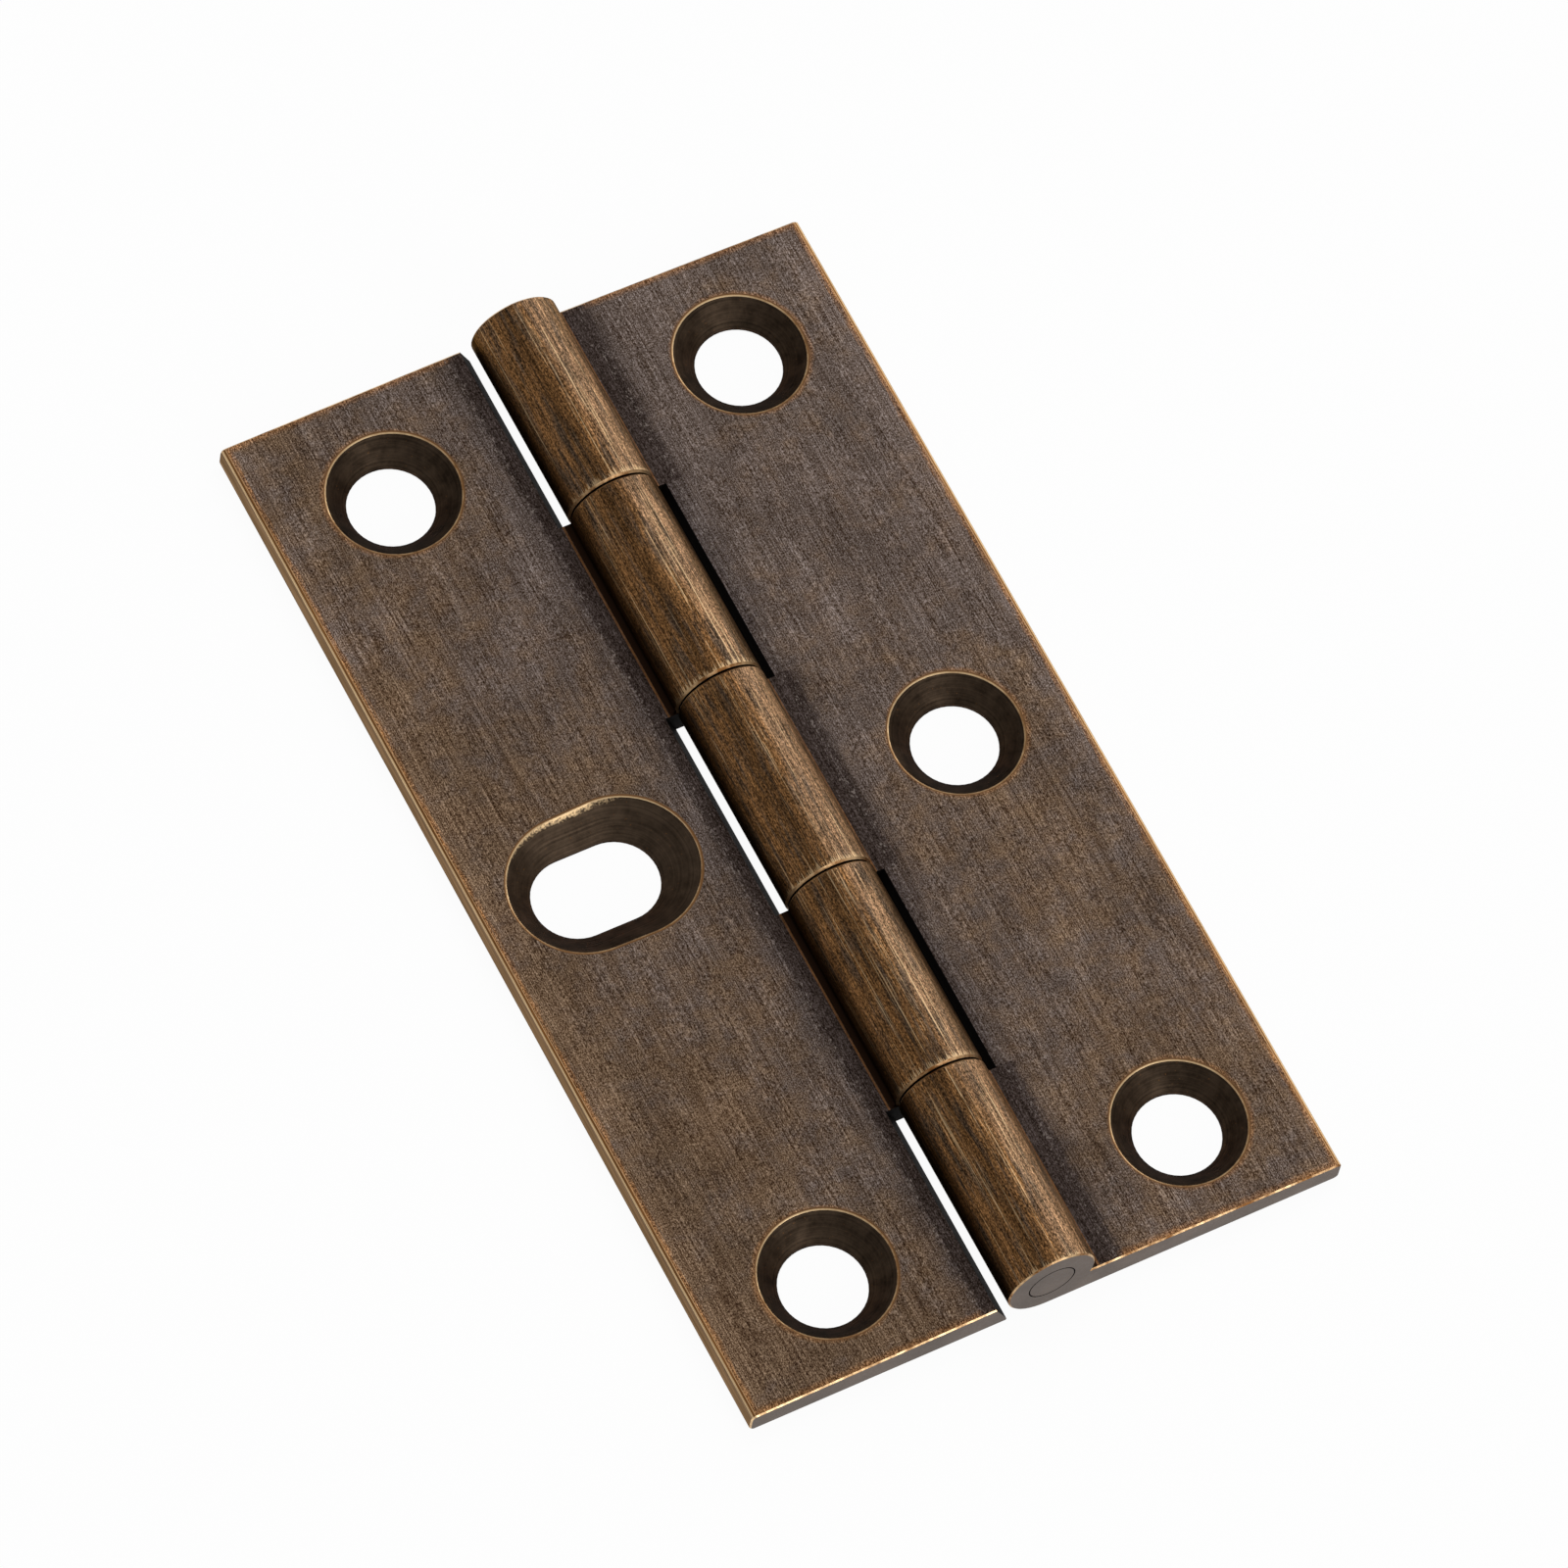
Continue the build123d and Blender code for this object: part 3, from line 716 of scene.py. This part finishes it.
def rim_brass(sizes, finish):
    """Finish of the countersinks' broken rims."""
    # Rubbed brass: a thin bright line low on the rim, with a painted highlight that makes it brighter on its
    # far side, and orange tarnish above it
    material, tree, place = new_finish("Rubbed brass rim")
    axes = add(tree, "ShaderNodeSeparateXYZ", {0: place})
    across = add(tree, "ShaderNodeMath", {0: axes.outputs["X"]}, operation="ABSOLUTE")
    taper = (sizes.root_thickness - sizes.edge_thickness) / sizes.reach
    level = add(tree, "ShaderNodeMath", {0: across, 1: taper, 2: axes.outputs["Z"]}, operation="MULTIPLY_ADD")
    depth = add(tree, "ShaderNodeMath", {0: sizes.root_thickness * MM, 1: level}, operation="SUBTRACT")
    tarnish = add(tree, "ShaderNodeMapRange", {"Value": depth, "From Max": 0.04})
    ground = add(tree, "ShaderNodeMix", {
        0: tarnish, 6: finish.face_warm, 7: finish.edge_orange_and_reflection}, data_type="RGBA")
    low = add(tree, "ShaderNodeMapRange", {"Value": depth, "From Min": 0.03, "From Max": 0.05})
    row_place = along_row(tree, axes, sizes, False)
    # Painted highlight: the rim's far side gets up to 0.25 more bare gold
    far = add(tree, "ShaderNodeMapRange", {"Value": row_place, "From Max": 3.5, "To Max": 0.25})
    patch = 1.1
    missed = add(tree, "ShaderNodeTexNoise", {
        "Vector": place, "Scale": 1 / patch, "Detail": 6.0, "Roughness": 0.8})
    rub = add(tree, "ShaderNodeMath", {0: missed, 1: far}, operation="ADD")
    rub = add(tree, "ShaderNodeMapRange", {
        "Value": rub, "From Min": 0.4, "From Max": 0.75, "To Min": 0.12, "To Max": 0.9})
    gold = add(tree, "ShaderNodeMath", {0: low, 1: rub}, operation="MULTIPLY")
    colour = add(tree, "ShaderNodeMix", {0: gold, 6: ground, 7: finish.bare_gold_and_highlight}, data_type="RGBA")
    roughness = add(tree, "ShaderNodeMapRange", {"Value": gold, "To Min": 0.5, "To Max": 0.35})
    close_finish(tree, colour, roughness, missed, 0.006, {"Metallic": BARE_METAL})
    return material


def slot_rub(tree, axes, row_place, radius, specks, sizes):
    """Share of bare brass on the slot's far long rim, worn round most towards the leaf's outer edge."""
    rim = sizes.slot_rim_radius * MM
    middle = -(sizes.hole_offset + sizes.slot_set_out) * MM
    far = add(tree, "ShaderNodeMapRange", {"Value": row_place, "From Min": 2.2, "From Max": 3.9})
    near_rim = add(tree, "ShaderNodeMapRange", {
        "Value": radius, "From Min": rim - 0.55, "From Max": rim - 0.1})
    rub = add(tree, "ShaderNodeMath", {0: far, 1: near_rim}, operation="MULTIPLY")
    outer = add(tree, "ShaderNodeMapRange", {
        "Value": axes.outputs["X"], "From Min": middle + 0.5, "From Max": middle + 4.5,
        "To Min": 1.0, "To Max": 0.0})
    rub = add(tree, "ShaderNodeMath", {0: rub, 1: outer}, operation="MULTIPLY")
    rub = add(tree, "ShaderNodeMath", {0: specks, 1: rub, 2: -0.14}, operation="MULTIPLY_ADD")
    return add(tree, "ShaderNodeMapRange", {"Value": rub, "From Max": 0.25})


def countersink_brass(sizes, finish, name, slotted):
    """Finish of the countersink walls."""
    # Cut brass left dark in the bath: deep brown, with the cutter's faint rings and a few bright specks
    material, tree, place = new_finish(name)
    axes = add(tree, "ShaderNodeSeparateXYZ", {0: place})
    row_place = along_row(tree, axes, sizes, slotted)
    radius = from_countersink(tree, axes, row_place, sizes, slotted)
    ring = 0.11
    patch = 0.9
    speck = 0.13
    rings_at = add(tree, "ShaderNodeCombineXYZ", {0: radius, 1: axes.outputs["Z"]})
    rings = add(tree, "ShaderNodeTexNoise", {"Vector": rings_at, "Scale": 1 / ring, "Detail": 2.0})
    broken = add(tree, "ShaderNodeTexNoise", {
        "Vector": place, "Scale": 1 / patch, "Detail": 5.0, "Roughness": 0.65})
    marks = weighted_sum(tree, ((rings, 0.35), (broken, 0.65)))
    # Painted light: the slot's wider walls are painted lighter, as they take more light
    painted_lift = 0.3 * slotted  # the slot's walls are lighter than the round holes'
    shade = add(tree, "ShaderNodeMapRange", {
        "Value": marks, "From Min": 0.38, "From Max": 0.62, "To Min": 0.55 + painted_lift, "To Max": 1.5 + painted_lift})
    lined = add(tree, "ShaderNodeVectorMath", {0: finish.sink_brown[:3], "Scale": shade}, operation="SCALE")
    specks = add(tree, "ShaderNodeTexNoise", {"Vector": place, "Scale": 1 / speck, "Detail": 1.0})
    bright = add(tree, "ShaderNodeMapRange", {
        "Value": specks, "From Min": 0.7, "From Max": 0.8, "To Max": 0.5})
    colour = add(tree, "ShaderNodeMix", {0: bright, 6: lined, 7: finish.edge_orange_and_reflection}, data_type="RGBA")
    if slotted:
        rub = slot_rub(tree, axes, row_place, radius, specks, sizes)
        colour = add(tree, "ShaderNodeMix", {0: rub, 6: colour, 7: finish.bare_gold_and_highlight}, data_type="RGBA")
    roughness = add(tree, "ShaderNodeMapRange", {
        "Value": rings, "From Min": 0.35, "From Max": 0.65, "To Min": 0.6, "To Max": 0.5})
    sockets = {"Metallic": 0.9, "Specular Tint": finish.edge_orange_and_reflection}
    close_finish(tree, colour, roughness, rings, 0.004, sockets)
    return material


def recess_painted_shade(finish):
    """Finish of the faces in the gaps round the knuckles."""
    # Painted shade: the faces in the gaps are painted near black and dull, without metal and with almost no
    # reflection, for the shade that falls there
    material, tree, place = new_finish("Painted shade in the gaps")
    patch = 0.6
    film = add(tree, "ShaderNodeTexNoise", {
        "Vector": place, "Scale": 1 / patch, "Detail": 4.0, "Roughness": 0.65})
    worn = add(tree, "ShaderNodeMapRange", {"Value": film, "From Min": 0.55, "From Max": 0.75, "To Max": 0.3})
    colour = add(tree, "ShaderNodeMix", {
        0: worn, 6: finish.recess_shade_black, 7: finish.root_shade_dark}, data_type="RGBA")
    roughness = add(tree, "ShaderNodeMapRange", {"Value": film, "To Min": 0.55, "To Max": 0.75})
    close_finish(tree, colour, roughness, film, 0.01, {"Metallic": 0.0, "Specular IOR Level": 0.02})
    return material


def merged_copy(node, name):
    """A merged copy of a CAD node at the origin, smooth on its round faces and crisp at its edges."""
    piece = bpy.data.objects.new(name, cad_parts[node].data.copy())
    bpy.context.scene.collection.objects.link(piece)
    piece.data.materials.clear()
    bpy.ops.object.select_all(action="DESELECT")
    bpy.context.view_layer.objects.active = piece
    piece.select_set(True)
    bpy.context.tool_settings.mesh_select_mode = (False, False, True)
    bpy.ops.object.mode_set(mode="EDIT")
    bpy.ops.mesh.select_all(action="SELECT")
    bpy.ops.mesh.remove_doubles(threshold=MERGE_DISTANCE)
    bpy.ops.object.mode_set(mode="OBJECT")
    bpy.ops.mesh.customdata_custom_splitnormals_clear()
    bpy.ops.object.shade_smooth_by_angle(angle=CREASE_ANGLE)
    even = piece.modifiers.new("Even normals", "WEIGHTED_NORMAL")
    even.keep_sharp = True
    bpy.ops.object.modifier_apply(modifier=even.name)
    return piece


def give_finish(piece, material, belongs):
    """Gives a finish to the faces that a test picks by their middle in millimetres and their normal."""
    piece.data.materials.append(material)
    piece.active_material_index = len(piece.data.materials) - 1
    picked = [belongs(face.center * MM, face.normal) for face in piece.data.polygons]
    if not any(picked):
        raise RuntimeError(f"{piece.name} has no face for {material.name}")
    piece.data.polygons.foreach_set("select", picked)
    bpy.ops.object.mode_set(mode="EDIT")
    bpy.ops.object.material_slot_assign()
    bpy.ops.object.mode_set(mode="OBJECT")


def finish_of(name, make, *values):
    """A finish by its name, made the first time that it is asked for."""
    return bpy.data.materials.get(name) or make(*values)


def anywhere(at, normal):
    """Test that picks every face."""
    return True


def end_test(sizes):
    """Test that picks the flat faces at the hinge's two ends."""
    half_length = sizes.half_length * MM

    def on_end(at, normal):
        return abs(normal.y) > SQUARE_ON and abs(at.y) > half_length - END_DEPTH

    return on_end


def dress_leaf(context, node, name, slotted):
    """Copies a leaf and gives each of its faces the finish of its place."""
    sizes = context.scene.hinge_sizes
    finish = context.scene.hinge_finish
    piece = merged_copy(node, name)
    radius = sizes.barrel_radius * MM
    root = sizes.root_thickness * MM
    reach = sizes.reach * MM
    taper = root - sizes.edge_thickness * MM
    rounding = reach - sizes.edge_radius * MM - EDGE_SLACK
    half_length = sizes.half_length * MM
    cutout = sizes.cutout_reach * MM
    pin = sizes.pin_radius * MM
    row = sizes.hole_offset * MM
    row_shift = sizes.row_shift * MM
    hole_shift = sizes.hole_shift * MM
    hole_pitch = sizes.hole_pitch * MM
    half_travel = sizes.slot_travel * MM / 2
    rim_steep, rim_flat = RIM_SLOPES

    def from_axis(at):
        return math.hypot(at.x, at.z - radius)

    def outward(at, normal):
        return (at.x * normal.x + (at.z - radius) * normal.z) / from_axis(at)

    def below_face(at):
        return root - taper * abs(at.x) / reach - at.z

    def slotted_middle(at):
        return slotted and abs(at.y - hole_shift) < hole_pitch / 2

    def from_rim(at):
        past_row = abs(at.x - row_shift) - row
        past_shift = at.y - hole_shift
        if slotted_middle(at):
            beside = abs(past_row - sizes.slot_set_out * MM)
            along = past_shift - sizes.slot_set_along * MM
            return math.hypot(max(beside - half_travel, 0), along) - sizes.slot_rim_radius * MM
        nearest = past_shift - hole_pitch * round(past_shift / hole_pitch)
        return math.hypot(past_row, nearest) - sizes.rim_radius * MM

    def on_long_edge(at, normal):
        return abs(at.x) > rounding and abs(normal.z) < ROUNDED_OFF

    def on_barrel(at, normal):
        near = abs(from_axis(at) - radius) < ROUND_SLACK
        flat_back = normal.z < -FLAT
        return near and outward(at, normal) > SQUARE_ON and not flat_back

    def in_gap(at, normal):
        joint_face = abs(normal.y) > SQUARE_ON and abs(at.y) < half_length - END_DEPTH
        bore = abs(from_axis(at) - pin) < ROUND_SLACK and outward(at, normal) < -SQUARE_ON
        bevel = cutout - BEVEL_WIDTH < abs(at.x) < cutout and below_face(at) > BEVEL_DEPTH
        tilted = abs(normal.z) < LEVEL and abs(normal.y) < ENDWISE and not on_barrel(at, normal)
        return joint_face or bore or bevel and tilted

    def on_sink_wall(at, normal):
        return from_rim(at) < WALL_SLACK and below_face(at) > EDGE_SLACK and abs(normal.z) < rim_flat

    def in_countersink(at, normal):
        return on_sink_wall(at, normal) and not slotted_middle(at)

    def in_slot(at, normal):
        return on_sink_wall(at, normal) and slotted_middle(at)

    def on_broken_edge(at, normal):
        end = abs(at.y) > half_length - END_DEPTH
        knuckle = abs(from_axis(at) - radius) < BREAK_SLACK
        return (end or knuckle) and ASLANT < abs(normal.y) < SQUARE_ON

    def on_rim(at, normal):
        near = below_face(at) < RIM_DEPTH and abs(from_rim(at)) < RIM_WIDTH
        return near and rim_steep < normal.z < rim_flat

    give_finish(piece, finish_of("Brushed antique brass", leaf_brass, sizes, finish), anywhere)
    give_finish(piece, finish_of("Handled brass edge", long_edge_brass, sizes, finish), on_long_edge)
    give_finish(piece, finish_of("Rubbed antique brass", barrel_brass, sizes, finish), on_barrel)
    give_finish(piece, finish_of("Painted shade in the gaps", recess_painted_shade, finish), in_gap)
    give_finish(piece, finish_of("Linished brass end", end_brass, finish), end_test(sizes))
    bored = "Bored brass countersink"
    give_finish(piece, finish_of(bored, countersink_brass, sizes, finish, bored, False), in_countersink)
    if slotted:
        milled = "Milled brass countersink"
        give_finish(piece, finish_of(milled, countersink_brass, sizes, finish, milled, True), in_slot)
    give_finish(piece, finish_of("Rubbed bare brass", bare_brass, finish), on_broken_edge)
    give_finish(piece, finish_of("Rubbed brass rim", rim_brass, sizes, finish), on_rim)
    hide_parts(node)
    return piece


class HINGE_OT_three_knuckle_leaf(bpy.types.Operator):
    """Dress the right-hand leaf, with three knuckles and three round holes"""

    bl_idname = "hinge.three_knuckle_leaf"
    bl_label = "Three-knuckle leaf"

    def execute(self, context):
        piece = dress_leaf(context, "three_knuckle_leaf", "right_leaf", False)
        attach(piece, "fixed_leaf")
        return {"FINISHED"}


class HINGE_OT_two_knuckle_leaf(bpy.types.Operator):
    """Dress the left-hand leaf, with two knuckles, two round holes and a slot"""

    bl_idname = "hinge.two_knuckle_leaf"
    bl_label = "Two-knuckle leaf"

    def execute(self, context):
        piece = dress_leaf(context, "two_knuckle_leaf", "left_leaf", True)
        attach(piece, "swing_leaf")
        return {"FINISHED"}


class HINGE_OT_pin(bpy.types.Operator):
    """Dress the pin, whose ends show in the barrel"""

    bl_idname = "hinge.pin"
    bl_label = "Pin"

    def execute(self, context):
        sizes = context.scene.hinge_sizes
        finish = context.scene.hinge_finish
        piece = merged_copy("hinge_pin", "pin")
        give_finish(piece, finish_of("Painted shade in the gaps", recess_painted_shade, finish), anywhere)
        give_finish(piece, finish_of("Linished brass end", end_brass, finish), end_test(sizes))
        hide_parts("hinge_pin")
        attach(piece, "fixed_leaf")
        return {"FINISHED"}


def floor_paper(studio):
    """Finish of the floor."""
    # Matt white paper: it shows as white, and keeps a faint shadow of the hinge
    material, tree = new_material("Matt white paper")
    light = add(tree, "ShaderNodeLightPath", {})
    seen = light.outputs["Is Camera Ray"]
    for ray in ("Is Glossy Ray", "Is Transmission Ray"):
        seen = add(tree, "ShaderNodeMath", {0: seen, 1: light.outputs[ray]}, operation="ADD", use_clamp=True)
    share = add(tree, "ShaderNodeMath", {0: seen, 1: studio.floor_glow}, operation="MULTIPLY")
    paper = add(tree, "ShaderNodeBsdfDiffuse", {"Color": studio.floor_white})
    white = add(tree, "ShaderNodeEmission", {"Strength": 1.0})
    both = add(tree, "ShaderNodeMixShader", {0: share, 1: paper, 2: white})
    add(tree, "ShaderNodeOutputMaterial", {"Surface": both})
    return material


class HINGE_OT_stage(bpy.types.Operator):
    """Set up the floor, the lamps and the camera"""

    bl_idname = "hinge.stage"
    bl_label = "Stage"

    def execute(self, context):
        studio = context.scene.hinge_studio
        bpy.ops.object.select_all(action="DESELECT")
        bpy.ops.mesh.primitive_plane_add(size=FLOOR_SIDE, location=(0, 0, -FLOOR_DROP))
        floor = context.active_object
        floor.name = "floor"
        floor.data.materials.append(floor_paper(studio))

        world = bpy.data.worlds.new("Even room")
        world.use_nodes = True
        room = world.node_tree.nodes["Background"]
        room.inputs["Strength"].default_value = studio.room_level
        room.inputs["Color"].default_value = (1.0, 1.0, 1.0, 1.0)
        context.scene.world = world

        # Each lamp's name, place and side in metres, and power in watts
        lamps = (
            ("Overhead softbox", (0.30, 0.34, 0.80), 0.60, 2.0),
            ("Front softbox", (0.25, -0.80, 0.36), 0.45, 2.2),
            ("Right softbox", (0.78, 0.30, 0.26), 0.40, 1.15),
        )
        for name, place, side, power in lamps:
            bpy.ops.object.light_add(type="AREA", location=place)
            lamp = context.active_object
            lamp.name = name
            lamp.data.size = side
            lamp.data.energy = power
            lamp.rotation_euler = Vector(place).to_track_quat("Z", "Y").to_euler()

        back = Vector((
            math.sin(studio.azimuth) * math.cos(studio.elevation),
            -math.cos(studio.azimuth) * math.cos(studio.elevation),
            math.sin(studio.elevation)))
        right = Vector((math.cos(studio.azimuth), math.sin(studio.azimuth), 0))
        up = back.cross(right)
        leaning_right = right * math.cos(studio.roll) + up * math.sin(studio.roll)
        leaning_up = up * math.cos(studio.roll) - right * math.sin(studio.roll)
        turned = Matrix((leaning_right, leaning_up, back)).transposed()
        bpy.ops.object.camera_add(location=Vector(studio.target) + back * studio.distance)
        camera = context.active_object
        camera.rotation_euler = turned.to_euler()
        camera.data.lens = studio.lens
        camera.data.sensor_width = SENSOR_WIDTH
        context.scene.camera = camera
        context.scene.view_settings.view_transform = "Standard"
        return {"FINISHED"}


GROUPS = (HingeSizes, HingeFinish, HingeStudio)
OPERATORS = (HINGE_OT_three_knuckle_leaf, HINGE_OT_two_knuckle_leaf, HINGE_OT_pin, HINGE_OT_stage)


class HINGE_PT_parts(bpy.types.Panel):
    """The hinge's pieces, finish and studio"""

    bl_idname = "HINGE_PT_parts"
    bl_label = "Butt hinge"
    bl_space_type = "VIEW_3D"
    bl_region_type = "UI"
    bl_category = "Hinge"

    def draw(self, context):
        layout = self.layout
        for operator in OPERATORS:
            layout.operator(operator.bl_idname)
        for group in (context.scene.hinge_sizes, context.scene.hinge_finish, context.scene.hinge_studio):
            box = layout.box()
            for name in group.__annotations__:
                box.prop(group, name)


CLASSES = (*GROUPS, *OPERATORS, HINGE_PT_parts)


def register():
    for cls in CLASSES:
        bpy.utils.register_class(cls)
    bpy.types.Scene.hinge_sizes = bpy.props.PointerProperty(type=HingeSizes)
    bpy.types.Scene.hinge_finish = bpy.props.PointerProperty(type=HingeFinish)
    bpy.types.Scene.hinge_studio = bpy.props.PointerProperty(type=HingeStudio)


def unregister():
    del bpy.types.Scene.hinge_studio
    del bpy.types.Scene.hinge_finish
    del bpy.types.Scene.hinge_sizes
    for cls in reversed(CLASSES):
        bpy.utils.unregister_class(cls)


def main():
    register()
    bpy.ops.hinge.three_knuckle_leaf()
    bpy.ops.hinge.two_knuckle_leaf()
    bpy.ops.hinge.pin()
    bpy.ops.hinge.stage()


if __name__ == "__main__":
    main()
